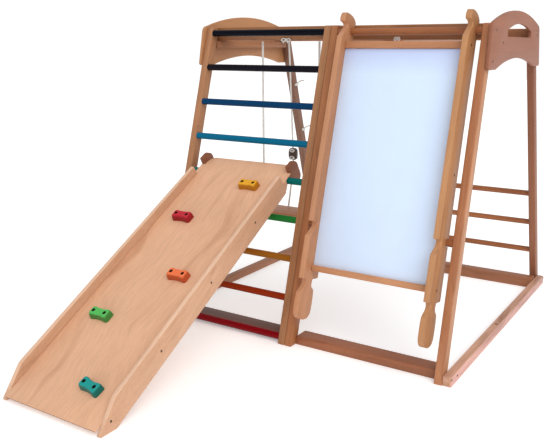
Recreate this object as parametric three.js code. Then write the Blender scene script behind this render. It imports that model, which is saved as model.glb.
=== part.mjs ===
// Wooden indoor play gym: an A-frame with a rung ladder, a climbing ramp that doubles as a slide,
// a hanging drawing board and a rope swing. Millimetres, +Z up, front towards -Y, +X to the right.
// Inside the model Y = 0 is where the ladder's rung line meets the floor and X = 0 is the middle.

import * as THREE from 'three';

// ---- driving dimensions ------------------------------------------------------------------------

const GAP = 0.3;                     // clearance left between pieces that touch
const LEAN = 0.29;                   // run of a leaning leg per unit of height
const LEAN_ANGLE = Math.atan(LEAN);

const HALF_WIDTH = 633;              // middle of the gym to the middle of an end leg
const LEG_TOP = 1252;
const LEG_THICK = 32;                // across the gym
const LEG_DEPTH = 47;                // front to back, level with the floor
const RUNG_INSET = 14.6;             // front face of a leg to the rung line, level with the floor
const BACK_LINE = 1334;              // middle of the back legs at the floor
const MID_POST_LEFT = -24;           // middles of the two posts that stand side by side
const MID_POST_RIGHT = MID_POST_LEFT + LEG_THICK + GAP;

const RUNG_RADIUS = 14;
const RUNG_PITCH = 150;
const RUNG_COUNT = 9;
const TOP_RUNG_Z = 1225.6;
const SLIDE_RUNG = 5;                // the rung the slide hangs on, counted from the top
const BOARD_LOWER_RUNG = 6;          // the rung level of the board's lower bar
const BACK_RUNG_LEVELS = [6, 7, 8];

const BEAM = { front: 396, back: 440, bottom: 1194, top: LEG_TOP };
const BACK_BEAM = { front: 898, back: 942, bottom: 1194, top: 1242 };
const CROSSPIECE = { front: 380, back: 964, bottom: 1162 };

const SIDE_RAIL = { thick: 32, front: -10, back: 1327, height: 36.4 };
const FRONT_RAIL = { front: 23, back: 95.4, height: 33.7 };
const BACK_RAIL = { front: 1212.6, back: 1268.9, height: 47.7 };

const PLATE_THICK = 12;
const PLATE_MIDDLE = 666;
const SLOT_MIDDLE = 696;
const SLOT_HALF = 175;

const SLOPE = Math.atan(0.585);      // the slide's angle to the floor
const SLIDE_LEFT = -571;
const SLIDE_RIGHT = -106;
const SLIDE_BOARD = 18;              // thickness of the slide's rails and hook plates
const DECK_UNDER = RUNG_RADIUS + GAP;
const DECK_TOP = 22;
const RAIL_TOP = 59;                 // the rails' edges, measured square to the deck from the rung
const RAIL_UNDER = -31.6;

const SEAT = { left: -413, right: -93, front: -70, back: 70, thick: 18 };
const SEAT_DROP = 755;               // beam underside to the top of the seat

const WOOD = 0xb9805a;
const PALE_WOOD = 0xdeac8c;
const RED_WOOD = 0xb0643c;
const ROPE = 0xd9d6cf;
const RUNG_COLOURS = {
  navy: 0x121426, violet: 0x20182c, blue: 0x004282, cyan: 0x007ca0, teal: 0x006860,
  green: 0x288232, amber: 0xaa640a, orange: 0xaa3214, red: 0xa00c14,
};

// ---- shared makers -----------------------------------------------------------------------------

const frame = new THREE.Group();
const board = new THREE.Group();
const slide = new THREE.Group();
const swing = new THREE.Group();

function add(group, name, geometry, colour, roughness = 0.55) {
  const material = new THREE.MeshStandardMaterial({ color: colour, roughness, metalness: 0 });
  const mesh = new THREE.Mesh(geometry, material);
  mesh.name = name;
  group.add(mesh);
  return mesh;
}

function block(group, name, x, y, z, colour) {
  const geometry = new THREE.BoxGeometry(x[1] - x[0], y[1] - y[0], z[1] - z[0]);
  const mesh = add(group, name, geometry, colour);
  mesh.position.set((x[0] + x[1]) / 2, (y[0] + y[1]) / 2, (z[0] + z[1]) / 2);
  return mesh;
}

// An outline drawn in the Y-Z plane, made into a board that spans x[0] to x[1].
function profile(group, name, shape, x, colour, curveSegments = 12) {
  const geometry = new THREE.ExtrudeGeometry(shape, {
    depth: x[1] - x[0], bevelEnabled: false, curveSegments,
  });
  const toSide = new THREE.Matrix4().makeBasis(
    new THREE.Vector3(0, 1, 0), new THREE.Vector3(0, 0, 1), new THREE.Vector3(1, 0, 0),
  );
  geometry.applyMatrix4(toSide);
  const mesh = add(group, name, geometry, colour);
  mesh.position.x = x[0];
  return mesh;
}

function outline(points) {
  return new THREE.Shape(points.map(([y, z]) => new THREE.Vector2(y, z)));
}

// A round bar across the gym.
function bar(name, x, y, z, colour, radius = RUNG_RADIUS) {
  const geometry = new THREE.CylinderGeometry(radius, radius, x[1] - x[0], 24);
  geometry.rotateZ(Math.PI / 2);
  const mesh = add(frame, name, geometry, colour, 0.35);
  mesh.position.set((x[0] + x[1]) / 2, y, z);
  return mesh;
}

const rungZ = (level) => TOP_RUNG_Z - (level - 1) * RUNG_PITCH;
const frontY = (z) => LEAN * z;
const backY = (z) => BACK_LINE - LEAN * z;
const span = (middle, width) => [middle - width / 2, middle + width / 2];

const LEFT_BAY = [-HALF_WIDTH + LEG_THICK / 2 + GAP, MID_POST_LEFT - LEG_THICK / 2 - GAP];
const RIGHT_BAY = [MID_POST_RIGHT + LEG_THICK / 2 + GAP, HALF_WIDTH - LEG_THICK / 2 - GAP];
const BETWEEN_PLATES = [-HALF_WIDTH - LEG_THICK / 2, HALF_WIDTH + LEG_THICK / 2];

// ---- frame: legs, rungs, rails, beams and end plates -------------------------------------------

function frontLeg(name, middle, colour) {
  const shape = outline([
    [-RUNG_INSET, 0],
    [LEG_DEPTH - RUNG_INSET, 0],
    [LEG_DEPTH - RUNG_INSET + frontY(LEG_TOP), LEG_TOP],
    [-RUNG_INSET + frontY(LEG_TOP), LEG_TOP],
  ]);
  profile(frame, name, shape, span(middle, LEG_THICK), colour);
}

function backLeg(name, middle, colour) {
  const half = LEG_DEPTH / 2;
  const shape = outline([
    [backY(0) - half, 0],
    [backY(0) + half, 0],
    [backY(LEG_TOP) + half, LEG_TOP],
    [backY(LEG_TOP) - half, LEG_TOP],
  ]);
  profile(frame, name, shape, span(middle, LEG_THICK), colour);
}

const LEG_PLACES = {
  left: [-HALF_WIDTH, WOOD], mid_left: [MID_POST_LEFT, RED_WOOD],
  mid_right: [MID_POST_RIGHT, WOOD], right: [HALF_WIDTH, RED_WOOD],
};
for (const [place, [middle, colour]] of Object.entries(LEG_PLACES)) {
  frontLeg(`leg_front_${place}`, middle, colour);
  backLeg(`leg_back_${place}`, middle, WOOD);
}

Object.entries(RUNG_COLOURS).forEach(([name, colour], i) => {
  const z = rungZ(i + 1);
  bar(`rung_${i + 1}_${name}`, LEFT_BAY, frontY(z), z, colour);
});
if (Object.keys(RUNG_COLOURS).length !== RUNG_COUNT) throw new Error('one colour for each rung');

bar('board_bar_upper', RIGHT_BAY, frontY(TOP_RUNG_Z), TOP_RUNG_Z, WOOD);
const lowerBarZ = rungZ(BOARD_LOWER_RUNG);
bar('board_bar_lower', RIGHT_BAY, frontY(lowerBarZ), lowerBarZ, WOOD);

for (const level of BACK_RUNG_LEVELS) {
  const z = rungZ(level);
  bar(`back_rung_left_${level}`, LEFT_BAY, backY(z), z, WOOD, RUNG_RADIUS - 1);
  bar(`back_rung_right_${level}`, RIGHT_BAY, backY(z), z, WOOD, RUNG_RADIUS - 1);
}

const frontRailY = [FRONT_RAIL.front, FRONT_RAIL.back];
block(frame, 'base_rail_front_left', LEFT_BAY, frontRailY, [0, FRONT_RAIL.height], WOOD);
block(frame, 'base_rail_front_right', RIGHT_BAY, frontRailY, [0, FRONT_RAIL.height], WOOD);
const backRailY = [BACK_RAIL.front, BACK_RAIL.back];
block(frame, 'base_rail_back', BETWEEN_PLATES, backRailY, [0, BACK_RAIL.height], WOOD);

function sideRail(name, side) {
  const inner = side * (HALF_WIDTH + LEG_THICK / 2 + GAP);
  const outer = inner + side * SIDE_RAIL.thick;
  const x = [Math.min(inner, outer), Math.max(inner, outer)];
  block(frame, name, x, [SIDE_RAIL.front, SIDE_RAIL.back], [0, SIDE_RAIL.height], WOOD);
}
sideRail('base_rail_side_left', -1);
sideRail('base_rail_side_right', 1);

block(frame, 'beam_front', BETWEEN_PLATES, [BEAM.front, BEAM.back], [BEAM.bottom, BEAM.top], WOOD);
const backBeamY = [BACK_BEAM.front, BACK_BEAM.back];
block(frame, 'beam_back', BETWEEN_PLATES, backBeamY, [BACK_BEAM.bottom, BACK_BEAM.top], WOOD);
const CROSSPIECE_PLACES = {
  left: -HALF_WIDTH, mid: (MID_POST_LEFT + MID_POST_RIGHT) / 2, right: HALF_WIDTH,
};
for (const [place, middle] of Object.entries(CROSSPIECE_PLACES)) {
  const z = [CROSSPIECE.bottom, BEAM.bottom - GAP];
  block(frame, `crosspiece_${place}`, span(middle, LEG_THICK), [CROSSPIECE.front, CROSSPIECE.back], z, WOOD);
}

// The end plate joins a pair of legs at the top. Its top is arched, its underside is hollowed
// between two flat lands, and a hand slot runs through it.
function endPlateShape() {
  const low = 1084;
  const crown = 1306;
  const landInner = 280;
  const lowHalf = 370;
  const highHalf = 338;
  const shoulder = 1251;
  const corner = 15;
  const y = PLATE_MIDDLE;
  const shape = new THREE.Shape();
  shape.moveTo(y - landInner, low);
  shape.quadraticCurveTo(y, 2 * 1123 - low, y + landInner, low);
  shape.lineTo(y + lowHalf - corner, low);
  shape.quadraticCurveTo(y + lowHalf, low, y + lowHalf - 2, low + corner);
  shape.lineTo(y + highHalf + 3, shoulder - corner);
  shape.quadraticCurveTo(y + highHalf, shoulder, y + highHalf - corner, shoulder + 5);
  shape.quadraticCurveTo(y, 2 * crown - shoulder - 5, y - highHalf + corner, shoulder + 5);
  shape.quadraticCurveTo(y - highHalf, shoulder, y - highHalf - 3, shoulder - corner);
  shape.lineTo(y - lowHalf + 2, low + corner);
  shape.quadraticCurveTo(y - lowHalf, low, y - lowHalf + corner, low);
  shape.closePath();

  const slot = new THREE.Path();
  const slotLow = 1204;
  const slotEnd = 1228;
  const slotCrown = 1256;
  const round = 10;
  const s = SLOT_MIDDLE;
  slot.moveTo(s - SLOT_HALF + round, slotLow);
  slot.quadraticCurveTo(s - SLOT_HALF, slotLow, s - SLOT_HALF, slotLow + round);
  slot.lineTo(s - SLOT_HALF, slotEnd);
  slot.quadraticCurveTo(s, 2 * slotCrown - slotEnd, s + SLOT_HALF, slotEnd);
  slot.lineTo(s + SLOT_HALF, slotLow + round);
  slot.quadraticCurveTo(s + SLOT_HALF, slotLow, s + SLOT_HALF - round, slotLow);
  slot.closePath();
  shape.holes.push(slot);
  return shape;
}

function endPlate(name, side) {
  const inner = side * (HALF_WIDTH + LEG_THICK / 2 + GAP);
  const outer = inner + side * PLATE_THICK;
  profile(frame, name, endPlateShape(), [Math.min(inner, outer), Math.max(inner, outer)], WOOD);
}
endPlate('end_plate_left', -1);
endPlate('end_plate_right', 1);

// ---- drawing board, hooked over two bars ---------------------------------------------------------
// Local frame: origin on the upper bar's axis, Y square to the board towards the back, Z up along it.

board.position.set(0, frontY(TOP_RUNG_Z), TOP_RUNG_Z);
board.rotation.x = -LEAN_ANGLE;

const STILE_LEFT = [61, 83];
const STILE_RIGHT = [570, 592];
const HOOK_RADIUS = RUNG_RADIUS + 1;
const STILE_BACK = 16;
const BAR_SPACING = (TOP_RUNG_Z - lowerBarZ) / Math.cos(LEAN_ANGLE);

// A stile has a hooked head with a nose, a notch for each bar, a finger notch and a rounded paddle.
function stileShape() {
  const low = -BAR_SPACING;
  const mouth = HOOK_RADIUS - 1;
  const shape = new THREE.Shape();
  shape.moveTo(-60, 60);
  shape.quadraticCurveTo(-10, 66, 13, 51);
  shape.quadraticCurveTo(25, 43, 23, 33);
  shape.lineTo(STILE_BACK, HOOK_RADIUS + 5);
  shape.lineTo(4, HOOK_RADIUS);
  shape.absarc(0, 0, HOOK_RADIUS, Math.PI / 2 - 0.27, 1.5 * Math.PI, false);
  shape.lineTo(mouth, -HOOK_RADIUS);
  shape.lineTo(STILE_BACK, -HOOK_RADIUS - 2);
  shape.lineTo(STILE_BACK, low + HOOK_RADIUS + 2);
  shape.lineTo(mouth, low + HOOK_RADIUS);
  shape.lineTo(0, low + HOOK_RADIUS);
  shape.absarc(0, low, HOOK_RADIUS, Math.PI / 2, 1.5 * Math.PI, false);
  shape.lineTo(mouth, low - HOOK_RADIUS);
  shape.lineTo(STILE_BACK, low - HOOK_RADIUS - 2);
  shape.lineTo(STILE_BACK, -990);
  shape.quadraticCurveTo(STILE_BACK, -996, 3, -996);
  shape.lineTo(-24, -999);
  shape.quadraticCurveTo(-32, -1015, -24, -1030);
  shape.lineTo(-6, -1042);
  shape.quadraticCurveTo(1, -1090, -6, -1130);
  shape.quadraticCurveTo(-14, -1155, -52, -1157);
  shape.quadraticCurveTo(-96, -1155, -102, -1125);
  shape.quadraticCurveTo(-106, -1090, -99, -1050);
  shape.lineTo(-74, -1026);
  shape.quadraticCurveTo(-64, -1012, -72, -1000);
  shape.lineTo(-98, -996);
  shape.lineTo(-96, -832);
  shape.lineTo(-60, -800);
  shape.quadraticCurveTo(-50, -784, -56, -776);
  shape.lineTo(-87, -773);
  shape.lineTo(-76, -40);
  shape.lineTo(-44, -2);
  shape.quadraticCurveTo(-32, 14, -46, 22);
  shape.lineTo(-70, 24);
  shape.quadraticCurveTo(-76, 42, -60, 60);
  return shape;
}
profile(board, 'board_stile_left', stileShape(), STILE_LEFT, WOOD, 8);
profile(board, 'board_stile_right', stileShape(), STILE_RIGHT, WOOD, 8);

const BOARD_INSIDE = [STILE_LEFT[1] + GAP, STILE_RIGHT[0] - GAP];
block(board, 'board_panel', BOARD_INSIDE, [-34, -30], [-943 + GAP, -78 - GAP], 0xd6e8fa);
block(board, 'board_rail_top', BOARD_INSIDE, [-42, -20], [-78, -50], WOOD);
block(board, 'board_rail_bottom', BOARD_INSIDE, [-48, -26], [-966, -943], WOOD);

// ---- climbing ramp and slide, hooked over one rung -----------------------------------------------
// Local frame: origin on that rung's axis, Y up the slope, Z square to the deck.

const SLIDE_PIVOT = { y: frontY(rungZ(SLIDE_RUNG)), z: rungZ(SLIDE_RUNG) };
slide.position.set(0, SLIDE_PIVOT.y, SLIDE_PIVOT.z);
slide.rotation.x = SLOPE;

// The slide's own coordinates of a point on the floor.
function floorPoint(y) {
  const run = y - SLIDE_PIVOT.y;
  const rise = -SLIDE_PIVOT.z;
  return [
    run * Math.cos(SLOPE) + rise * Math.sin(SLOPE),
    rise * Math.cos(SLOPE) - run * Math.sin(SLOPE),
  ];
}

const TOE = -890;                    // front edge of the slide's foot on the floor
const HEEL = -822;
const TOE_FACE = 7;                  // height of the toe's upright face
const HEADER_START = -42;            // where the rails drop to let the deck reach full width
const HEADER_END = 25;
const DECK_END = 75;
const DECK_LOW_END = -1236;

function railShape() {
  const toe = floorPoint(TOE);
  return outline([
    [-1125, RAIL_TOP],
    [toe[0] + TOE_FACE * Math.sin(SLOPE), toe[1] + TOE_FACE * Math.cos(SLOPE)],
    toe, floorPoint(HEEL),
    [-46, RAIL_UNDER], [-15.6, -7], [-15.6, DECK_UNDER - GAP],
    [HEADER_START, DECK_UNDER - GAP], [HEADER_START, RAIL_TOP],
  ]);
}
profile(slide, 'slide_rail_left', railShape(), [SLIDE_LEFT, SLIDE_LEFT + SLIDE_BOARD], PALE_WOOD);
profile(slide, 'slide_rail_right', railShape(), [SLIDE_RIGHT - SLIDE_BOARD, SLIDE_RIGHT], PALE_WOOD);

// The deck runs between the rails, widens over their lowered ends and narrows to its top edge.
function deckGeometry() {
  const inner = SLIDE_BOARD + GAP;
  const cut = 45;
  const shoulder = 27;
  const bevel = 13;
  const left = SLIDE_LEFT;
  const right = SLIDE_RIGHT;
  const shape = new THREE.Shape([
    [left + inner, DECK_LOW_END], [right - inner, DECK_LOW_END],
    [right - inner, HEADER_START + GAP], [right, HEADER_START + GAP],
    [right, HEADER_END], [right - inner, HEADER_END],
    [right - inner, HEADER_END + 16], [right - shoulder, DECK_END - bevel],
    [right - cut, DECK_END], [left + cut, DECK_END],
    [left + shoulder, DECK_END - bevel], [left + inner, HEADER_END + 16],
    [left + inner, HEADER_END], [left, HEADER_END],
    [left, HEADER_START + GAP], [left + inner, HEADER_START + GAP],
  ].map(([x, y]) => new THREE.Vector2(x, y)));
  return new THREE.ExtrudeGeometry(shape, { depth: DECK_TOP - DECK_UNDER, bevelEnabled: false });
}
add(slide, 'slide_deck', deckGeometry(), PALE_WOOD).position.z = DECK_UNDER;

// A hook plate stands behind the rung and rises past the deck's edge to a flat top. Its back is
// rounded, and it ends in a lip under the rung.
function hookShape() {
  const front = HEADER_END + GAP;
  const top = 50;
  const back = 88;
  const round = 30;
  const throat = RUNG_RADIUS + 1.3;
  const throatTop = 1.08;
  const shape = new THREE.Shape();
  shape.moveTo(throat * Math.cos(throatTop), throat * Math.sin(throatTop));
  shape.lineTo(front, DECK_UNDER - GAP);
  shape.lineTo(front, top);
  shape.absarc(back - round, top - round, round, Math.PI / 2, 0, true);
  shape.lineTo(back, -20);
  shape.quadraticCurveTo(back, -44, 70, -46);
  shape.quadraticCurveTo(50, -44, 36, -38);
  shape.lineTo(throat - 1, -7);
  shape.absarc(0, 0, throat, -0.48, throatTop, false);
  return shape;
}
profile(slide, 'slide_hook_left', hookShape(), [SLIDE_LEFT, SLIDE_LEFT + SLIDE_BOARD], WOOD, 10);
profile(slide, 'slide_hook_right', hookShape(), [SLIDE_RIGHT - SLIDE_BOARD, SLIDE_RIGHT], WOOD, 10);

const SLIDE_INSIDE = [SLIDE_LEFT + SLIDE_BOARD + GAP, SLIDE_RIGHT - SLIDE_BOARD - GAP];
block(slide, 'slide_batten_top', SLIDE_INSIDE, [18, 44], [-12, DECK_UNDER - GAP], WOOD);
block(slide, 'slide_batten_low', SLIDE_INSIDE, [-1130, -1100], [-12, DECK_UNDER - GAP], WOOD);

// A climbing hold is a low waisted block with rounded ends, screwed flat to the deck.
function holdGeometry() {
  const end = 44;
  const half = 22;
  const waist = 17;
  const shape = new THREE.Shape();
  shape.moveTo(-end, -half + 10);
  shape.quadraticCurveTo(-end, -half, -end + 12, -half);
  shape.quadraticCurveTo(0, -waist * 0.8, end - 12, -half);
  shape.quadraticCurveTo(end, -half, end, -half + 10);
  shape.lineTo(end, half - 10);
  shape.quadraticCurveTo(end, half, end - 12, half);
  shape.quadraticCurveTo(0, waist * 0.8, -end + 12, half);
  shape.quadraticCurveTo(-end, half, -end, half - 10);
  shape.closePath();
  return new THREE.ExtrudeGeometry(shape, {
    depth: 16, bevelEnabled: true, bevelThickness: 6, bevelSize: 5, bevelOffset: -5,
    bevelSegments: 2, curveSegments: 4,
  });
}

// Colour, side of the middle line, place up the slope from the rung, and turn on the deck.
const HOLDS = {
  yellow: [0xe1a523, 1, -88, 0], red: [0xc3192d, -1, -318, 0], orange: [0xeb5a28, 1, -608, 0],
  green: [0x3cb446, -1, -848, 0], teal: [0x0f8787, 1, -1112, -0.14],
};
const HOLD_SPREAD = 94;
for (const [name, [colour, side, up, turn]] of Object.entries(HOLDS)) {
  const hold = add(slide, `hold_${name}`, holdGeometry(), colour, 0.4);
  const middle = (SLIDE_LEFT + SLIDE_RIGHT) / 2;
  hold.position.set(middle + side * HOLD_SPREAD, up, DECK_TOP + GAP + 6);
  hold.rotation.z = turn;
}

// ---- swing on ropes from the front beam ----------------------------------------------------------
// Local frame: origin under the middle of the front beam, where the ropes leave it.

swing.position.set(0, (BEAM.front + BEAM.back) / 2, BEAM.bottom);

const seatZ = [-SEAT_DROP - SEAT.thick, -SEAT_DROP];
block(swing, 'swing_seat', [SEAT.left, SEAT.right], [SEAT.front, SEAT.back], seatZ, WOOD);

const ROPE_SIDES = 8;
function rope(name, radius, route) {
  const points = route.map(([x, y, z]) => new THREE.Vector3(x, y, z));
  const section = new THREE.Shape();
  for (let i = 0; i < ROPE_SIDES; i += 1) {
    const turn = (2 * Math.PI * i) / ROPE_SIDES;
    const corner = [radius * Math.cos(turn), radius * Math.sin(turn)];
    if (i === 0) section.moveTo(...corner);
    else section.lineTo(...corner);
  }
  section.closePath();
  const geometry = new THREE.ExtrudeGeometry(section, {
    steps: 24, bevelEnabled: false, extrudePath: new THREE.CatmullRomCurve3(points),
  });
  add(swing, name, geometry, ROPE, 0.9);
}

const ROPE_TOP = -5;
const ROPE_LOW = -SEAT_DROP + 1;
for (const [side, x] of [['left', -393], ['right', -103]]) {
  rope(`swing_rope_${side}`, 5, [[x, 0, ROPE_TOP], [x, 0, -240], [x, 0, -480], [x, 0, ROPE_LOW]]);
}

// The middle rope is in two lengths that meet in the toggle.
const TOGGLE = { x: -255, y: 33, top: -476, bottom: -528, half: 10 };
rope('swing_rope_mid_upper', 4, [
  [TOGGLE.x, 0, ROPE_TOP], [TOGGLE.x, 12, -180], [TOGGLE.x, 24, -360], [TOGGLE.x, 31, TOGGLE.top + GAP],
]);
rope('swing_rope_mid_lower', 4, [
  [TOGGLE.x, 34, TOGGLE.bottom - GAP], [TOGGLE.x, 34, TOGGLE.bottom - 14], [-263, 37, -605],
  [-272, 38, -670], [-284, 38, ROPE_LOW],
]);
block(
  swing, 'swing_toggle', span(TOGGLE.x, 4 * TOGGLE.half), span(TOGGLE.y, 2 * TOGGLE.half),
  [TOGGLE.bottom, TOGGLE.top], WOOD,
);

// ---- the whole gym, centred on the floor it covers -----------------------------------------------

const FRONT_EDGE = SLIDE_PIVOT.y + DECK_LOW_END * Math.cos(SLOPE) - DECK_TOP * Math.sin(SLOPE);
const BACK_EDGE = backY(0) + LEG_DEPTH / 2;
const gym = new THREE.Group();
gym.name = 'play_gym';
gym.add(frame, board, slide, swing);
gym.position.y = -(FRONT_EDGE + BACK_EDGE) / 2;

export default gym;
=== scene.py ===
"""Looks for a wooden indoor play gym: ladder, climbing ramp slide, drawing board and swing.

Lengths are in metres, or in millimetres where a comment says so. Every mesh is made in the row
frame, with its object at the origin.
"""

import math

import bmesh
import bpy
from mathutils import Matrix, Vector


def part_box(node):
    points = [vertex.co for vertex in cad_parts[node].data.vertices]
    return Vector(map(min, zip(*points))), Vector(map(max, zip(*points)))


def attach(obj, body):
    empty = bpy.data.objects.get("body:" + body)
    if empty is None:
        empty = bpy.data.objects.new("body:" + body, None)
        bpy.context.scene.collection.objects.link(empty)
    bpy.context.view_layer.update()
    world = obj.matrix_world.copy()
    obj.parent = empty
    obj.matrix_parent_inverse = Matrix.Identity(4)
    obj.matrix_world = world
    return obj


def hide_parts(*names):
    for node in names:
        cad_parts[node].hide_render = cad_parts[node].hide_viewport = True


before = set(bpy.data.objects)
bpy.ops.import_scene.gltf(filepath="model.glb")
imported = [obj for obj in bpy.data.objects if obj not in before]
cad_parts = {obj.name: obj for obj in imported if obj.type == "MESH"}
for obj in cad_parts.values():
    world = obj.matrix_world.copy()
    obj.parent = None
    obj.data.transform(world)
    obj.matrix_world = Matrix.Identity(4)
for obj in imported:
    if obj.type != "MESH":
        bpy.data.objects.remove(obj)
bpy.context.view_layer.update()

MM = 0.001
LEAN_RUN = 0.29  # the legs and the drawing board lean by this much for each unit of height
LEAN = math.atan(LEAN_RUN)
SLOPE = math.atan(0.585)  # the slide's angle to the floor
FRAME, BOARD, SLIDE, SWING = "gym_frame", "board", "slide", "swing"


def box_middle(node):
    low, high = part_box(node)
    return (low + high) / 2


BAR_AXIS = box_middle("board_bar_upper")
SLIDE_AXIS = box_middle("rung_5_teal")
BEAM_LOW, BEAM_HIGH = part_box("beam_front")

# Directions of the leaning parts: along the legs and the board, and up the slide.
UP_FRONT = Vector((0, math.sin(LEAN), math.cos(LEAN)))
UP_BACK = Vector((0, -math.sin(LEAN), math.cos(LEAN)))
BOARD_BACK = Vector((0, math.cos(LEAN), -math.sin(LEAN)))
UP_SLIDE = Vector((0, math.cos(SLOPE), math.sin(SLOPE)))
OFF_DECK = Vector((0, -math.sin(SLOPE), math.cos(SLOPE)))
ACROSS = Vector((1, 0, 0))
BACKWARDS = Vector((0, 1, 0))
UPWARDS = Vector((0, 0, 1))


# ---- camera --------------------------------------------------------------------------------------

EYE = (1.44505, BAR_AXIS.y - 2.62685, 1.16970)
EYE_TILT = 78.948  # degrees up from straight down
EYE_TURN = 31.964  # degrees to the left of straight back
LENS = 46.69  # millimetres, on a 36 mm sensor
SHIFT = (-0.0296, -0.0662)


def make_camera():
    data = bpy.data.cameras.new("camera")
    data.sensor_width = 36
    data.lens = LENS
    data.shift_x, data.shift_y = SHIFT
    camera = bpy.data.objects.new("camera", data)
    camera.location = EYE
    camera.rotation_euler = (math.radians(EYE_TILT), 0, math.radians(EYE_TURN))
    bpy.context.scene.collection.objects.link(camera)
    bpy.context.scene.camera = camera


make_camera()


# ---- materials -----------------------------------------------------------------------------------


def linear(hex_colour):
    """A screen colour such as "b9805a" as linear numbers."""
    values = [int(hex_colour[i : i + 2], 16) / 255 for i in (0, 2, 4)]
    return [v / 12.92 if v <= 0.04045 else ((v + 0.055) / 1.055) ** 2.4 for v in values] + [1]


def grey(level):
    return [level, level, level, 1]


class Nodes:
    """Short calls for building one node tree. A value is a number, a colour or another output."""

    def __init__(self, tree):
        self.tree = tree

    def add(self, kind, **settings):
        node = self.tree.nodes.new(kind)
        for name, value in settings.items():
            setattr(node, name, value)
        return node

    def put(self, value, socket):
        if isinstance(value, bpy.types.NodeSocket):
            self.tree.links.new(value, socket)
        else:
            socket.default_value = value

    def math(self, operation, a, b):
        node = self.add("ShaderNodeMath", operation=operation)
        self.put(a, node.inputs[0])
        self.put(b, node.inputs[1])
        return node.outputs[0]

    def vector(self, operation, a, b, output="Vector"):
        node = self.add("ShaderNodeVectorMath", operation=operation)
        self.put(a, node.inputs[0])
        self.put(b, node.inputs[1])
        return node.outputs[output]

    def noise(self, vector, scale, detail, roughness=0.55):
        node = self.add("ShaderNodeTexNoise")
        self.put(vector, node.inputs["Vector"])
        self.put(scale, node.inputs["Scale"])
        self.put(detail, node.inputs["Detail"])
        self.put(roughness, node.inputs["Roughness"])
        return node.outputs["Fac"]

    def stretched_noise(self, vector, stretch, scale, detail, roughness=0.55):
        stretched = self.vector("MULTIPLY", vector, stretch)
        return self.noise(stretched, scale, detail, roughness)

    def ramp(self, factor, first, last):
        """A colour ramp between two stops, each given as (place, colour)."""
        node = self.add("ShaderNodeValToRGB")
        self.put(factor, node.inputs["Fac"])
        for element, (place, colour) in zip(node.color_ramp.elements, (first, last)):
            element.position = place
            element.color = colour
        return node.outputs["Color"]

    def mix(self, factor, a, b, blend="MIX"):
        node = self.add("ShaderNodeMix", data_type="RGBA", blend_type=blend)
        for index, value in ((0, factor), (6, a), (7, b)):
            self.put(value, node.inputs[index])
        return node.outputs[2]

    def tinted(self, colour, tint, share=1.0):
        """The colour multiplied by the tint, as far as share says."""
        return self.mix(share, colour, tint, "MULTIPLY")

    def principled(self, colour, roughness, gloss):
        shader = self.add("ShaderNodeBsdfPrincipled")
        self.put(colour, shader.inputs["Base Color"])
        self.put(roughness, shader.inputs["Roughness"])
        self.put(gloss, shader.inputs["Specular IOR Level"])
        return shader

    def bump(self, shader, height, strength, distance):
        node = self.add("ShaderNodeBump")
        self.put(strength, node.inputs["Strength"])
        self.put(distance, node.inputs["Distance"])
        self.put(height, node.inputs["Height"])
        self.put(node.outputs[0], shader.inputs["Normal"])


def blank_material(name):
    material = bpy.data.materials.new(name)
    material.use_nodes = True
    material.node_tree.nodes.clear()
    return material, Nodes(material.node_tree)


def wood_group():
    """Lacquered beech: long soft streaks, fine fibres and short darker flecks along local X.

    Each noise is stretched by (along the grain, across it, across it).
    """
    tree = bpy.data.node_groups.new("lacquered_beech", "ShaderNodeTree")
    face = tree.interface
    for name, kind in (
        ("Grain", "NodeSocketVector"), ("Light", "NodeSocketColor"), ("Dark", "NodeSocketColor"),
        ("Seed", "NodeSocketFloat"), ("Contrast", "NodeSocketFloat"), ("Flecks", "NodeSocketFloat"),
    ):
        face.new_socket(name, in_out="INPUT", socket_type=kind)
    face.new_socket("Shader", in_out="OUTPUT", socket_type="NodeSocketShader")
    n = Nodes(tree)
    given = n.add("NodeGroupInput").outputs
    result = n.add("NodeGroupOutput")

    # The seed moves each board to its own wood, and a slow drift bends the grain.
    place = n.vector("ADD", given["Grain"], given["Seed"])
    drift = n.stretched_noise(place, (1.8, 5, 5), 1.0, 2)
    grain = n.vector("ADD", place, n.math("MULTIPLY", drift, 0.07))

    streaks = n.stretched_noise(grain, (1.1, 24, 24), 1.6, 3)
    rings = n.stretched_noise(grain, (3.2, 78, 78), 1.3, 5, 0.7)
    fibres = n.stretched_noise(grain, (14, 620, 620), 1.0, 3, 0.6)
    flecks = n.stretched_noise(grain, (95, 700, 700), 1.0, 1)
    veins = n.stretched_noise(grain, (0.9, 30, 30), 1.7, 2)
    clouds = n.stretched_noise(grain, (2.5, 5, 5), 1.0, 2)

    figure = n.math("ADD", n.math("MULTIPLY", streaks, 0.62), n.math("MULTIPLY", rings, 0.38))
    figure = n.math("ADD", n.math("MULTIPLY", n.math("SUBTRACT", figure, 0.5), 2.2), 0.42)
    figure = n.ramp(n.math("MULTIPLY", figure, given["Contrast"]), (0.0, grey(0)), (1.0, grey(1)))
    colour = n.mix(figure, given["Light"], given["Dark"])
    colour = n.tinted(colour, n.ramp(fibres, (0.3, grey(0.9)), (0.7, grey(1.06))))
    fleck_tint = n.ramp(flecks, (0.3, [0.80, 0.74, 0.68, 1]), (0.36, grey(1)))
    colour = n.tinted(colour, fleck_tint, given["Flecks"])
    colour = n.tinted(colour, n.ramp(veins, (0.60, grey(1)), (0.74, [0.84, 0.79, 0.75, 1])))
    cloud_tint = n.ramp(clouds, (0.3, [0.93, 0.91, 0.89, 1]), (0.7, [1.05, 1.04, 1.03, 1]))
    colour = n.tinted(colour, cloud_tint)

    shader = n.principled(colour, n.ramp(fibres, (0.3, grey(0.42)), (0.7, grey(0.54))), 0.4)
    n.bump(shader, fibres, 0.25, 0.0004)
    n.put(shader.outputs[0], result.inputs[0])
    return tree


WOOD = wood_group()
SEED_STEP = 1.731  # how far apart in the wood two boards with neighbouring seeds lie
KNOT_BROWN = "4a2a1a"


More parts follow.
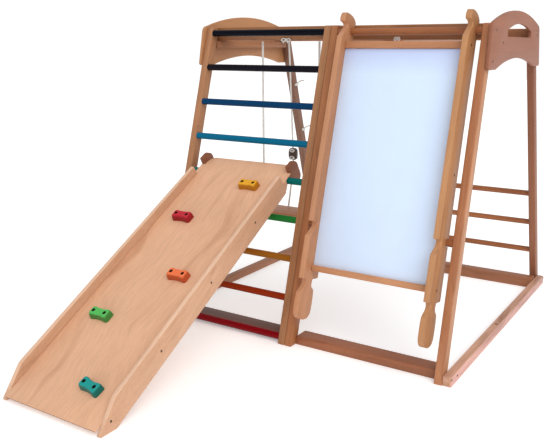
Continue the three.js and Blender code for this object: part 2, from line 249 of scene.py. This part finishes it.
def wood(name, light, dark, along, seed, contrast=1.0, spread=1.0, facing=(), marks=(), flecks=0.6):
    """One board's own material: its grain runs along the given direction.

    spread widens the grain. facing holds (direction, tint) pairs: faces turned that way take the
    tint, as painted light where it lightens them and painted shade where it darkens them (at the
    deck's ends, also the end grain's own darker colour). marks holds (place, radius) pairs, where
    the board has a knot.
    """
    material, n = blank_material(name)
    given = n.add("ShaderNodeTexCoord").outputs
    turn = n.add("ShaderNodeMapping", vector_type="TEXTURE")
    n.put(given["Object"], turn.inputs["Vector"])
    n.put(ACROSS.rotation_difference(along).to_euler(), turn.inputs["Rotation"])
    n.put((1, spread, spread), turn.inputs["Scale"])
    tones = [linear(light), linear(dark)]
    for direction, tint in facing:
        towards = n.vector("DOT_PRODUCT", given["Normal"], direction, "Value")
        share = n.ramp(towards, (0.6, grey(0)), (0.9, grey(1)))
        tones = [n.mix(share, tone, n.tinted(tone, [*tint, 1])) for tone in tones]
    for middle, radius in marks:
        gap = n.vector("DISTANCE", given["Object"], middle, "Value")
        share = n.ramp(n.math("DIVIDE", gap, radius), (0.25, grey(0.9)), (0.9, grey(0)))
        tones = [n.mix(share, tone, linear(KNOT_BROWN)) for tone in tones]
    group = n.add("ShaderNodeGroup", node_tree=WOOD)
    for socket, value in (
        ("Grain", turn.outputs[0]), ("Light", tones[0]), ("Dark", tones[1]),
        ("Seed", seed * SEED_STEP), ("Contrast", contrast), ("Flecks", flecks),
    ):
        n.put(value, group.inputs[socket])
    output = n.add("ShaderNodeOutputMaterial")
    n.put(group.outputs[0], output.inputs["Surface"])
    return material


def surface(
    name, colour, roughness, dapple, scale, bump=0.0, gloss=0.3, metal=0.0, sides=None, fade=None,
):
    """A painted, moulded or corded surface with slight changes of tone and of roughness.

    sides is (direction, tint): faces turned away from the direction take the tint, as painted
    shade. fade is (start, end, tint): the tint comes in along the line from start to end.
    """
    material, n = blank_material(name)
    given = n.add("ShaderNodeTexCoord").outputs
    fine = n.noise(given["Object"], scale, 4)
    broad = n.noise(given["Object"], scale / 9, 2)
    base = n.tinted(linear(colour), n.ramp(fine, (0.3, grey(1 - dapple)), (0.7, grey(1 + dapple))))
    if sides:
        direction, tint = sides
        towards = n.vector("DOT_PRODUCT", given["Normal"], direction, "Value")
        share = n.ramp(towards, (0.25, grey(1)), (0.85, grey(0)))
        base = n.mix(share, base, n.tinted(base, tint))
    if fade:
        start, end, tint = fade
        line = (end - start) / (end - start).length_squared
        reached = n.vector("DOT_PRODUCT", given["Object"], line, "Value")
        share = n.ramp(n.math("SUBTRACT", reached, start.dot(line)), (0, grey(0)), (1, grey(1)))
        base = n.mix(share, base, n.tinted(base, tint))
    rough = n.ramp(broad, (0.3, grey(roughness * 0.85)), (0.7, grey(roughness * 1.15)))
    shader = n.principled(base, rough, gloss)
    n.put(metal, shader.inputs["Metallic"])
    if bump:
        n.bump(shader, fine, 0.4, bump)
    output = n.add("ShaderNodeOutputMaterial")
    n.put(shader.outputs[0], output.inputs["Surface"])
    return material


SCREW = surface("zinc_screw", "6b5a48", 0.38, 0.12, 900, metal=0.85)
HOLE = surface("hole_shadow", "1c1512", 0.8, 0.1, 400)
ROPE = surface("white_cord", "e2dfd9", 0.85, 0.12, 900, 0.0006)


# ---- mesh helpers --------------------------------------------------------------------------------


def finish_piece(name, bm, material, body, replaced=(), smooth_angle=35):
    """Makes a piece from a bmesh in the row frame, smooth but for its sharp edges."""
    bmesh.ops.recalc_face_normals(bm, faces=bm.faces)
    limit = math.radians(smooth_angle)
    for face in bm.faces:
        face.smooth = True
    for edge in bm.edges:
        edge.smooth = len(edge.link_faces) == 2 and edge.calc_face_angle(0) < limit
    mesh = bpy.data.meshes.new(name)
    bm.to_mesh(mesh)
    bm.free()
    mesh.materials.append(material)
    piece = bpy.data.objects.new(name, mesh)
    bpy.context.scene.collection.objects.link(piece)
    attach(piece, body)
    if replaced:
        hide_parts(*replaced)
    return piece


def bridge(bm, rings):
    """Adds a band of faces from each ring of vertices to the next."""
    count = len(rings[0])
    for a, b in zip(rings, rings[1:]):
        for i in range(count):
            j = (i + 1) % count
            bm.faces.new((a[i], a[j], b[j], b[i]))


def loft(bm, rings):
    """Joins the rings of vertices into one skin, closed at both ends."""
    bridge(bm, rings)
    bm.faces.new(rings[0])
    bm.faces.new(rings[-1])


def circle(radius, sides, start=0.0):
    """Pairs of numbers round a circle, the first at the angle start."""
    turns = [start + 2 * math.pi * k / sides for k in range(sides)]
    return [(radius * math.cos(turn), radius * math.sin(turn)) for turn in turns]


def eased(node, material, body, radius=0.003, segments=3):
    """The CAD board with its sharp edges rounded over, as sanded timber has."""
    bm = bmesh.new()
    bm.from_mesh(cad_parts[node].data)
    bmesh.ops.remove_doubles(bm, verts=bm.verts, dist=1e-5)
    bmesh.ops.dissolve_limit(bm, angle_limit=math.radians(1), verts=bm.verts, edges=bm.edges)
    limit = math.radians(40)
    sharp = [e for e in bm.edges if len(e.link_faces) == 2 and e.calc_face_angle(0) > limit]
    bmesh.ops.bevel(
        bm, geom=sharp, offset=radius, segments=segments, profile=0.5,
        affect="EDGES", clamp_overlap=True,
    )
    return finish_piece(node + "_board", bm, material, body, [node])


DOWEL_CHAMFER = 0.0015


def dowel(node, material, radius):
    """A turned round bar across the gym with softened ends."""
    low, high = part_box(node)
    middle = (low + high) / 2
    bm = bmesh.new()
    rings = []
    for x, r in (
        (low.x, radius - DOWEL_CHAMFER), (low.x + DOWEL_CHAMFER, radius),
        (high.x - DOWEL_CHAMFER, radius), (high.x, radius - DOWEL_CHAMFER),
    ):
        rings.append([bm.verts.new((x, middle.y + y, middle.z + z)) for y, z in circle(r, 40)])
    loft(bm, rings)
    return finish_piece(node + "_dowel", bm, material, FRAME, [node])


def screw_heads(name, places, outward, body, radius=0.0046):
    """Pan-head screws in a surface: each a low dome with a cross recess."""
    side = outward.orthogonal().normalized()
    up = outward.cross(side)
    arm, wide = radius * 0.62, radius * 0.17
    corners = [
        (wide, arm), (-wide, arm), (-wide, wide), (-arm, wide), (-arm, -wide), (-wide, -wide),
        (-wide, -arm), (wide, -arm), (wide, -wide), (arm, -wide), (arm, wide), (wide, wide),
    ]
    cross = []
    for a, b in zip(corners, corners[1:] + corners[:1]):
        cross += [a, ((a[0] + b[0]) / 2, (a[1] + b[1]) / 2)]
    start = math.atan2(arm, wide)
    rim = circle(radius, len(cross), start)
    crown = circle(radius * 0.86, len(cross), start)
    levels = [(rim, 0), (rim, 0.0003), (crown, 0.0008), (cross, 0.0010), (cross, 0.0002)]
    bm = bmesh.new()
    for middle in places:
        rings = []
        for points, rise in levels:
            centre = middle + outward * rise
            rings.append([bm.verts.new(centre + side * x + up * y) for x, y in points])
        loft(bm, rings)
    return finish_piece(name, bm, SCREW, body, smooth_angle=40)


# ---- swing: ropes, knots, adjuster and seat ------------------------------------------------------

SWING_AT = Vector((0, (BEAM_LOW.y + BEAM_HIGH.y) / 2, BEAM_LOW.z))
LOBE = 0.16  # how deep the hollows between a cord's strands are, as a share of its radius
FINE_STEP, FINE_SIDES = 0.002, 10  # for knots and bows


def from_middle(middle, points):
    """Points in the row frame, each given in millimetres from the middle."""
    return [middle + Vector(point) * MM for point in points]


def smooth_route(points, step, closed=False):
    """A curve through the points, with a new point about every step along it."""
    count = len(points)
    route = []
    for i in range(count if closed else count - 1):
        if closed:
            a, b, c, d = (points[(i + k) % count] for k in (-1, 0, 1, 2))
        else:
            b, c = points[i], points[i + 1]
            a = points[i - 1] if i else b + (b - c)
            d = points[i + 2] if i + 2 < count else c + (c - b)
        steps = max(2, round((c - b).length / step))
        for k in range(steps):
            t = k / steps
            route.append(
                0.5 * (2 * b + (c - a) * t + (2 * a - 5 * b + 4 * c - d) * t**2
                       + (3 * b - a - 3 * c + d) * t**3)
            )
    if not closed:
        route.append(points[-1].copy())
    return route


def laid_cord(bm, route, radius, lay, closed=False, sides=16):
    """Adds a three-strand cord along a route, its strands turning once in each length lay."""
    count = len(route)
    side = None
    run = 0.0
    rings = []
    for i, place in enumerate(route):
        if closed:
            along = (route[(i + 1) % count] - route[i - 1]).normalized()
        else:
            along = (route[min(i + 1, count - 1)] - route[max(i - 1, 0)]).normalized()
        if side is None:
            side = along.orthogonal()
        side = (side - along * side.dot(along)).normalized()
        up = along.cross(side)
        if i:
            run += (place - route[i - 1]).length
        ring = []
        for k in range(sides):
            angle = 2 * math.pi * k / sides
            strand = abs(math.cos(1.5 * (angle - 2 * math.pi * run / lay)))
            reach = radius * (1 - LOBE + LOBE * strand)
            outward = math.cos(angle) * side + math.sin(angle) * up
            ring.append(bm.verts.new(place + reach * outward))
        rings.append(ring)
    if closed:
        bridge(bm, rings + rings[:1])
    else:
        loft(bm, rings)


def fine_cord(bm, points, radius, lay, closed=False):
    """Adds a short piece of cord, as in a knot or a bow."""
    laid_cord(bm, smooth_route(points, FINE_STEP, closed), radius, lay, closed, FINE_SIDES)


def swing_rope(node, points, radius):
    """A rope of the swing, its points in millimetres from the middle of the beam's underside."""
    route = smooth_route(from_middle(SWING_AT, points), 0.004)
    bm = bmesh.new()
    laid_cord(bm, route, radius, radius * 6)
    piece = finish_piece(node + "_cord", bm, ROPE, SWING, [node], 60)


def knot(name, middle, size, radius, body, ends=()):
    """A tight trefoil of cord, with loose ends given in millimetres from its middle."""
    bm = bmesh.new()
    loop = []
    for i in range(12):
        t = 2 * math.pi * i / 12
        x = math.sin(t) + 2 * math.sin(2 * t)
        y = math.cos(t) - 2 * math.cos(2 * t)
        z = -1.3 * math.sin(3 * t)
        loop.append(middle + Vector((x, y, z)) * size / 3)
    fine_cord(bm, loop, radius, radius * 6, closed=True)
    for end in ends:
        fine_cord(bm, from_middle(middle, end), radius, radius * 6)
    return finish_piece(name, bm, ROPE, body, smooth_angle=60)


def bow(name, middle, reach):
    """A small bow tied on the frame: two loops to the sides and two ends that hang a little."""
    bm = bmesh.new()
    radius, lay = 0.0026, 0.016
    for side in (-1, 1):
        out = side * reach
        loop = [(0, 0, 0), (out * 0.6, -4, 5), (out, -5, -2), (out * 0.55, -4, -6)]
        end = [(0, -2, -1), (side * 7, -7, -6), (side * 13, -8, -13)]
        fine_cord(bm, from_middle(middle, loop), radius, lay, closed=True)
        fine_cord(bm, from_middle(middle, end), radius, lay)
    ring = [(0, -4, 4), (4, -3, 0), (0, -4, -4), (-4, -3, 0)]
    fine_cord(bm, from_middle(middle, ring), 0.003, lay, closed=True)
    return finish_piece(name, bm, ROPE, FRAME, smooth_angle=60)


# Millimetres from the beam's underside: the ropes' tops, their low ends and the knots under them.
ROPE_TOP, ROPE_LOW, SEAT_KNOT = -5, -754, -782
for side, x in (("left", -393), ("right", -103)):
    route = [(x, 0, ROPE_TOP), (x, 0, -240), (x, 0, -480), (x, 0, ROPE_LOW)]
    swing_rope("swing_rope_" + side, route, 0.005)
swing_rope(
    "swing_rope_mid_upper",
    [(-255, 0, ROPE_TOP), (-255, 12, -180), (-255, 24, -360), (-255, 31, -475.7)], 0.004,
)
swing_rope(
    "swing_rope_mid_lower",
    [(-255, 34, -528.3), (-255, 34, -542), (-263, 37, -605), (-272, 38, -670),
     (-284, 38, ROPE_LOW)], 0.004,
)

# Each rope passes through the seat and ends in a knot under it.
for side, x, y in (("left", -393, 0), ("right", -103, 0), ("mid", -284, 38)):
    middle = SWING_AT + Vector((x, y, SEAT_KNOT)) * MM
    knot(f"seat_knot_{side}", middle, 0.007, 0.0042, SWING)

BOW_AT = BEAM_LOW.y - SWING_AT.y - 0.003
bow("beam_bow_left", SWING_AT + Vector((-0.253, BOW_AT, 0.002)), 23)
bow("beam_bow_right", SWING_AT + Vector((0.265, BOW_AT, 0.004)), 12)

# Knotted ends of cord on the inner face of the left back leg.
LEG_HALF_DEPTH = 0.0235
LEG_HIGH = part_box("leg_back_left")[1]
for place, z in (("upper", 0.965), ("lower", 0.715)):
    middle = Vector((LEG_HIGH.x + 0.006, LEG_HIGH.y - LEG_HALF_DEPTH - LEAN_RUN * z, z))
    tail = [(0, 0, 0), (12, 0, 12), (28, -2, 21), (50, -3, 25)]
    knot("leg_knot_" + place, middle, 0.008, 0.0042, FRAME, [tail])


def adjuster():
    """The block that sets the middle rope's length: waisted, with a loop of cord at each end."""
    low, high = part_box("swing_toggle")
    middle, half = (low + high) / 2, (high - low) / 2

    def at(x, y, z):
        """A place in the block, each number a share of its half size."""
        return middle + Vector((x * half.x, y * half.y, z * half.z))

    right = [(0.55, -1), (0.92, -0.75), (1, -0.3), (1, 0.3), (0.92, 0.75), (0.55, 1)]
    outline = right + [(-x, z) for x, z in reversed(right)]
    bm = bmesh.new()
    rings = []
    for y, share in ((-1, 0.86), (-0.7, 1), (0.7, 1), (1, 0.86)):
        rings.append([bm.verts.new(at(x * share, y, z * share)) for x, z in outline])
    loft(bm, rings)
    block = wood("wood_adjuster", "5d4a40", "3c302a", UPWARDS, 95)
    finish_piece("swing_adjuster_block", bm, block, SWING, ["swing_toggle"], 30)
    for end, z in (("top", 0.62), ("low", -0.62)):
        loop = [(-0.5, -1.15, z), (0.1, -1.35, z + 0.22), (0.6, -1.15, z), (0.1, -1.35, z - 0.2)]
        bm = bmesh.new()
        fine_cord(bm, [at(*point) for point in loop], 0.003, 0.018, closed=True)
        finish_piece("adjuster_loop_" + end, bm, ROPE, SWING, smooth_angle=60)


def seat():
    """The seat board: round corners in plan and rounded edges."""
    low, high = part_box("swing_seat")
    corner, ease = 0.030, 0.004
    bm = bmesh.new()
    rings = []
    for z, inset in (
        (low.z, ease), (low.z + ease * 0.3, ease * 0.3), (low.z + ease, 0),
        (high.z - ease, 0), (high.z - ease * 0.3, ease * 0.3), (high.z, ease),
    ):
        reach = corner - inset
        ring = []
        for x, y, start in (
            (high.x - corner, high.y - corner, 0), (low.x + corner, high.y - corner, 90),
            (low.x + corner, low.y + corner, 180), (high.x - corner, low.y + corner, 270),
        ):
            for k in range(9):
                turn = math.radians(start + k * 90 / 8)
                spot = (x + reach * math.cos(turn), y + reach * math.sin(turn), z)
                ring.append(bm.verts.new(spot))
        rings.append(ring)
    loft(bm, rings)
    material = wood("wood_seat", "d09670", "a87050", ACROSS, 96)
    finish_piece("swing_seat_board", bm, material, SWING, ["swing_seat"])


adjuster()
seat()


# ---- frame ---------------------------------------------------------------------------------------

# Colours are given as (light, dark). Each board has its own seed, so no two show the same grain.
LEG_TONES = {
    "left": ("b07c56", "8c5e3e"), "mid_left": ("b27e54", "86583a"),
    "mid_right": ("b8794d", "8e5833"), "right": ("c0825a", "98603e"),
}
BACK_LEG_TONES = {
    "left": ("8c6450", "6e4c3c"), "mid_left": ("9a6444", "784a34"),
    "mid_right": ("9a6444", "784a34"), "right": ("9a6244", "784834"),
}
PAINTED_SUN_TINT = (1.12, 1.28, 1.42)  # painted light: the tint that lightens the right front leg's outer face, where the sun falls
for seed, place in enumerate(LEG_TONES):
    facing = [(ACROSS, PAINTED_SUN_TINT)] if place == "right" else []
    node = "leg_front_" + place
    material = wood("wood_" + node, *LEG_TONES[place], UP_FRONT, seed, 1.0, 1.6, facing)
    eased(node, material, FRAME, 0.004)
    node = "leg_back_" + place
    material = wood("wood_" + node, *BACK_LEG_TONES[place], UP_BACK, seed + 10, 1.0, 1.6)
    eased(node, material, FRAME, 0.004)

RUNG_PAINTS = {
    "rung_1_navy": "060712", "rung_2_violet": "120f18", "rung_3_blue": "023860",
    "rung_4_cyan": "036284", "rung_5_teal": "046662", "rung_6_green": "207432",
    "rung_7_amber": "965e1c", "rung_8_orange": "8a2c0e", "rung_9_red": "7a0610",
}
RUNG_RADIUS, BACK_RUNG_RADIUS = 0.014, 0.013
for node, paint in RUNG_PAINTS.items():
    material = surface("paint_" + node, paint, 0.3, 0.05, 160, gloss=0.07)
    dowel(node, material, RUNG_RADIUS)

PLAIN_BARS = {"board_bar_upper": RUNG_RADIUS, "board_bar_lower": RUNG_RADIUS}
for side in ("left", "right"):
    for level in (6, 7, 8):
        PLAIN_BARS[f"back_rung_{side}_{level}"] = BACK_RUNG_RADIUS
for seed, (node, radius) in enumerate(PLAIN_BARS.items()):
    dowel(node, wood("wood_" + node, "a8683c", "82492a", ACROSS, 30 + seed), radius)

RAIL_DARK = "85553a"
CROSS_BOARDS = {
    # Painted shade: the left front base rail's tones are much darker than the other rails', as in
    # the shade under the slide.
    "base_rail_front_left": ("74493a", "4c2c24", ACROSS),
    "base_rail_front_right": ("a66440", RAIL_DARK, ACROSS),
    "base_rail_back": ("a06644", RAIL_DARK, ACROSS),
    "base_rail_side_left": ("ae7857", RAIL_DARK, BACKWARDS),
    "base_rail_side_right": ("e2b094", RAIL_DARK, BACKWARDS),
    "beam_front": ("b07748", RAIL_DARK, ACROSS),
    "beam_back": ("a86d45", RAIL_DARK, ACROSS),
    "crosspiece_left": ("a87047", RAIL_DARK, BACKWARDS),
    "crosspiece_mid": ("a87047", RAIL_DARK, BACKWARDS),
    "crosspiece_right": ("a87047", RAIL_DARK, BACKWARDS),
    "end_plate_left": ("bd865a", "a0704c", BACKWARDS),
    "end_plate_right": ("a0664c", "845440", BACKWARDS),
}
# Painted light: the right side rail's outer face is lightened, where the sun falls.
SIDE_RAIL_PAINTED_LIGHT = [(ACROSS, (1.05, 1.05, 1.35))]
KNOT_PLACE = (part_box("base_rail_side_right")[1].x - 0.014, BAR_AXIS.y + 0.21, 0.0364)
for seed, (node, (light, dark, along)) in enumerate(CROSS_BOARDS.items()):
    plate = "plate" in node
    contrast, spread = (0.7, 1.0) if plate else (1.0, 1.5)
    facing, marks = [], []
    if node == "base_rail_side_right":
        facing, marks = SIDE_RAIL_PAINTED_LIGHT, [(KNOT_PLACE, 0.012)]
    name = "wood_" + node
    material = wood(name, light, dark, along, 50 + seed, contrast, spread, facing, marks)
    eased(node, material, FRAME, 0.0025)


# ---- drawing board -------------------------------------------------------------------------------

# Painted shade: the stiles' faces turned to the right are darkened.
STILE_FLANK_PAINTED_SHADE = [(ACROSS, (0.84, 0.80, 0.74))]
# Painted light: the board rails' top faces are lightened.
BOARD_RAIL_PAINTED_LIGHT = [(UP_FRONT, (1.3, 1.35, 1.4))]
for seed, side, light, dark in (
    (71, "left", "cd9570", "b07a56"), (72, "right", "c79164", "a6744c"),
):
    material = wood("wood_stile_" + side, light, dark, UP_FRONT, seed, 0.9, 1.4, STILE_FLANK_PAINTED_SHADE)
    eased("board_stile_" + side, material, BOARD)
for seed, place, light, dark in (
    (73, "top", "bf855f", "a06c4a"), (74, "bottom", "cd946c", "ab7550"),
):
    material = wood(f"wood_rail_{place}", light, dark, ACROSS, seed, 0.9, 1.4, BOARD_RAIL_PAINTED_LIGHT)
    eased("board_rail_" + place, material, BOARD, 0.002)

# The panel turns a little darker and bluer towards its top edge.
PANEL_TOP = BAR_AXIS - UP_FRONT * 0.08
PANEL_FADE = (PANEL_TOP - UP_FRONT * 0.10, PANEL_TOP, (0.80, 0.77, 0.88, 1))
PANEL = surface("gloss_panel", "d4e6ff", 0.5, 0.012, 12, fade=PANEL_FADE)
eased("board_panel", PANEL, BOARD, 0.0008, 2)


# ---- slide ---------------------------------------------------------------------------------------

# Painted light: the slide rails' top faces are lightened.
SLIDE_RAIL_PAINTED_LIGHT = [(OFF_DECK, (1.25, 1.42, 1.6))]
# The deck's two ends are darkened: partly the end grain's own darker colour, partly painted shade.
GRAIN_AND_SHADE_AT_ENDS = (0.42, 0.34, 0.32)
DECK_ENDS = [(UP_SLIDE, GRAIN_AND_SHADE_AT_ENDS), (-UP_SLIDE, GRAIN_AND_SHADE_AT_ENDS)]
deck = wood("wood_deck", "e0b08e", "c89674", UP_SLIDE, 81, 0.42, 4.0, DECK_ENDS, flecks=0.2)
eased("slide_deck", deck, SLIDE)
for seed, side in enumerate(("left", "right")):
    name = "slide_rail_" + side
    rail = wood("wood_" + name, "d4a888", "be8d6c", UP_SLIDE, 83 + seed, 0.9, 2.4, SLIDE_RAIL_PAINTED_LIGHT)
    eased(name, rail, SLIDE)
    name = "slide_hook_" + side
    hook = wood("wood_" + name, "925a3c", "74432a", UP_SLIDE, 85 + seed)
    eased(name, hook, SLIDE, 0.0025)
for seed, place in ((87, "top"), (88, "low")):
    material = wood(f"wood_batten_{place}", "b4744c", "8a5232", ACROSS, seed)
    eased(f"slide_batten_{place}", material, SLIDE)


# ---- climbing holds ------------------------------------------------------------------------------

HOLD_COLOURS = {
    "yellow": "e0a01c", "red": "b8182a", "orange": "e6703e", "green": "4eb254", "teal": "06928a",
}
HOLD_SIDE_PAINTED_SHADE = (0.58, 0.46, 0.42, 1)  # painted shade: the tint that darkens a hold's sides
TEAL_TURN = -0.14  # radians: the teal hold sits a little turned on the deck

# A hold in millimetres: half its length, half its width, its height and half its waist.
HOLD_LONG, HOLD_WIDE, HOLD_TALL, HOLD_WAIST = 44, 22, 28, 13.6
HOLD_LEVELS = [  # (height, how far the outline is drawn in)
    (0, 0.5), (1, 0), (10, 0.8), (19, 2.0), (23.5, 3.2), (26, 4.8), (27.5, 6.6), (HOLD_TALL, 8.6),
]
DISH_DEPTH, DISH_REACH, DISH_FROM = 3.5, 15, 12
BORE_AT, BORE_SIDES = 27, 24
BORE = [(HOLD_TALL, 7.6), (27, 7.0), (18, 7.0)]  # (height, radius), from the mouth down
# Painted shade: a dark cup down in each bore round the screw, as (height, radius) pairs.
BORE_SHADE_CUP = [(18.3, 6.7), (26.6, 6.7), (26.6, 5.9), (19, 5.9)]
SCREW_LEVEL = 19.1


def hold_outline():
    """A dog-bone with round corners, drawn in at the waist: points along eight curves."""
    long, wide, waist = HOLD_LONG, HOLD_WIDE, HOLD_WAIST
    x, y = long - 12, wide - 10  # where the round corners begin
    curves = [
        ((-long, -y), (-long, -wide), (-x, -wide)), ((-x, -wide), (0, -waist), (x, -wide)),
        ((x, -wide), (long, -wide), (long, -y)), ((long, -y), (long, 0), (long, y)),
        ((long, y), (long, wide), (x, wide)), ((x, wide), (0, waist), (-x, wide)),
        ((-x, wide), (-long, wide), (-long, y)), ((-long, y), (-long, 0), (-long, -y)),
    ]
    points = []
    for a, b, c in curves:
        for k in range(6):
            t = k / 6
            pull = ((1 - t) ** 2, 2 * t * (1 - t), t * t)
            points.append([pull[0] * a[i] + pull[1] * b[i] + pull[2] * c[i] for i in (0, 1)])
    return points


def climbing_hold(colour):
    """One moulded hold, dished between its ends, with a screw in each end, down a bore darkened by
    a cup of painted shade.
    """
    base = box_middle("hold_" + colour) - OFF_DECK * (HOLD_TALL / 2 * MM)
    long_way = Matrix.Rotation(TEAL_TURN if colour == "teal" else 0, 3, OFF_DECK) @ ACROSS
    short_way = OFF_DECK.cross(long_way)

    def place(x, y, z):
        depth = DISH_DEPTH * math.exp(-((x / DISH_REACH) ** 2))
        dish = depth * max(0, z - DISH_FROM) / (HOLD_TALL - DISH_FROM)
        return base + (long_way * x + short_way * y + OFF_DECK * (z - dish)) * MM

    def turned(mesh, x, profile):
        """Adds rings about an upright axis through x, the last one closed; gives the first."""
        rings = []
        for z, r in profile:
            points = circle(r, BORE_SIDES)
            rings.append([mesh.verts.new(place(x + across, y, z)) for across, y in points])
        bridge(mesh, rings)
        mesh.faces.new(rings[-1])
        return rings[0]

    def edges_round(mesh, ring):
        return [mesh.edges.get(pair) for pair in zip(ring, ring[1:] + ring[:1])]

    bm = bmesh.new()
    rings = []
    for z, inset in HOLD_LEVELS:
        narrow, short = (HOLD_LONG - inset) / HOLD_LONG, (HOLD_WIDE - inset) / HOLD_WIDE
        rings.append([bm.verts.new(place(x * narrow, y * short, z)) for x, y in hold_outline()])
    bridge(bm, rings)
    bm.faces.new(rings[0])
    rim = edges_round(bm, rings[-1])
    bore_shade = bmesh.new()
    heads = []
    for x in (-BORE_AT, BORE_AT):
        rim += edges_round(bm, turned(bm, x, BORE))
        bore_shade.faces.new(turned(bore_shade, x, BORE_SHADE_CUP))
        heads.append(place(x, 0, SCREW_LEVEL))
    bmesh.ops.triangle_fill(bm, use_beauty=True, use_dissolve=False, edges=rim)

    name, paint, shade = "hold_" + colour, HOLD_COLOURS[colour], (OFF_DECK, HOLD_SIDE_PAINTED_SHADE)
    material = surface("moulded_" + colour, paint, 0.42, 0.07, 420, 0.00015, sides=shade)
    finish_piece(name + "_moulded", bm, material, SLIDE, [name], 50)
    finish_piece(f"hold_bore_shade_{colour}", bore_shade, HOLE, SLIDE, smooth_angle=50)
    screw_heads(f"hold_screws_{colour}", heads, OFF_DECK, SLIDE, 0.0040)


for colour in HOLD_COLOURS:
    climbing_hold(colour)


# ---- screws --------------------------------------------------------------------------------------

FLOOR_LINE = BAR_AXIS.y - LEAN_RUN * BAR_AXIS.z  # where the ladder's rung line meets the floor
PLATE_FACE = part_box("end_plate_right")[1].x
BASE_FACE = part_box("base_rail_side_right")[1].x

# Screws in the plates and base rails lie (behind the floor line, above the floor), those in the
# slide (up it, off its deck) from rung 5, and those in the stiles (back, up) from the upper bar.
PLATE_SCREWS = [(0.376, 1.227), (0.350, 1.113), (0.469, 1.182), (0.974, 1.215)]
BASE_SCREWS = [(-0.004, 0.027), (0.054, 0.020), (1.275, 0.020), (1.318, 0.027)]
SLIDE_SCREWS = [(-0.274, 0.016), (-0.596, 0.015), (-0.910, 0.014), (-1.184, 0.010)]
STILE_SCREWS = [(-0.031, -0.064), (-0.020, -0.538), (-0.036, -0.954)]


def on_face(x, spots):
    return [Vector((x, spot.y, spot.z)) for spot in spots]


for side, sign in (("left", -1), ("right", 1)):
    outward = ACROSS * sign
    spots = [Vector((sign * PLATE_FACE, FLOOR_LINE + y, z)) for y, z in PLATE_SCREWS]
    screw_heads(f"plate_screws_{side}", spots, outward, FRAME)
    spots = [Vector((sign * BASE_FACE, FLOOR_LINE + y, z)) for y, z in BASE_SCREWS]
    screw_heads(f"base_screws_{side}", spots, outward, FRAME)
    outer = 1 if side == "right" else 0
    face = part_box("slide_rail_" + side)[outer].x
    spots = [SLIDE_AXIS + UP_SLIDE * up + OFF_DECK * off for up, off in SLIDE_SCREWS]
    screw_heads(f"slide_screws_{side}", on_face(face, spots), outward, SLIDE)
    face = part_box("board_stile_" + side)[outer].x
    spots = [BAR_AXIS + BOARD_BACK * back + UP_FRONT * up for back, up in STILE_SCREWS]
    screw_heads(f"stile_screws_{side}", on_face(face, spots), outward, BOARD)


# ---- stage ---------------------------------------------------------------------------------------

FLOOR_RADIUS, DOME_RADIUS = 24, 25
FLOOR_LEVEL = -0.0005  # just under the feet
SUN_FROM = (0.62, -0.42, 0.66)


def plain(name, colour, glow):
    """A plain surface of the studio, with some light of its own."""
    material = bpy.data.materials.new(name)
    material.use_nodes = True
    inputs = material.node_tree.nodes["Principled BSDF"].inputs
    inputs["Base Color"].default_value = grey(colour)
    inputs["Roughness"].default_value = 0.95
    inputs["Specular IOR Level"].default_value = 0.0
    inputs["Emission Color"].default_value = grey(1)
    inputs["Emission Strength"].default_value = glow
    return material


def stage_piece(name, bm, material, level=0.0):
    mesh = bpy.data.meshes.new(name)
    bm.to_mesh(mesh)
    bm.free()
    mesh.materials.append(material)
    piece = bpy.data.objects.new(name, mesh)
    piece.location.z = level
    bpy.context.scene.collection.objects.link(piece)
    return piece


def make_stage():
    """A wide pale floor, and a white dome far behind everything that gives no light."""
    bm = bmesh.new()
    bmesh.ops.create_circle(bm, cap_ends=True, segments=96, radius=FLOOR_RADIUS)
    stage_piece("floor", bm, plain("pale_floor", 0.9, 0.3), FLOOR_LEVEL)
    bm = bmesh.new()
    bmesh.ops.create_uvsphere(bm, u_segments=48, v_segments=24, radius=DOME_RADIUS)
    dome = stage_piece("backdrop", bm, plain("white_backdrop", 0, 1.05))
    for kind in ("diffuse", "glossy", "transmission", "volume_scatter", "shadow"):
        setattr(dome, "visible_" + kind, False)


def make_lights():
    """An even white sky and a broad soft sun from the front right."""
    world = bpy.data.worlds.new("studio")
    world.use_nodes = True
    background = world.node_tree.nodes["Background"]
    background.inputs["Color"].default_value = grey(1)
    background.inputs["Strength"].default_value = 0.68
    bpy.context.scene.world = world
    data = bpy.data.lights.new("sun", "SUN")
    data.energy = 1.5
    data.angle = math.radians(50)
    sun = bpy.data.objects.new("sun", data)
    sun.rotation_euler = Vector(SUN_FROM).to_track_quat("Z", "Y").to_euler()
    bpy.context.scene.collection.objects.link(sun)
    bpy.context.scene.view_settings.view_transform = "Standard"


make_stage()
make_lights()
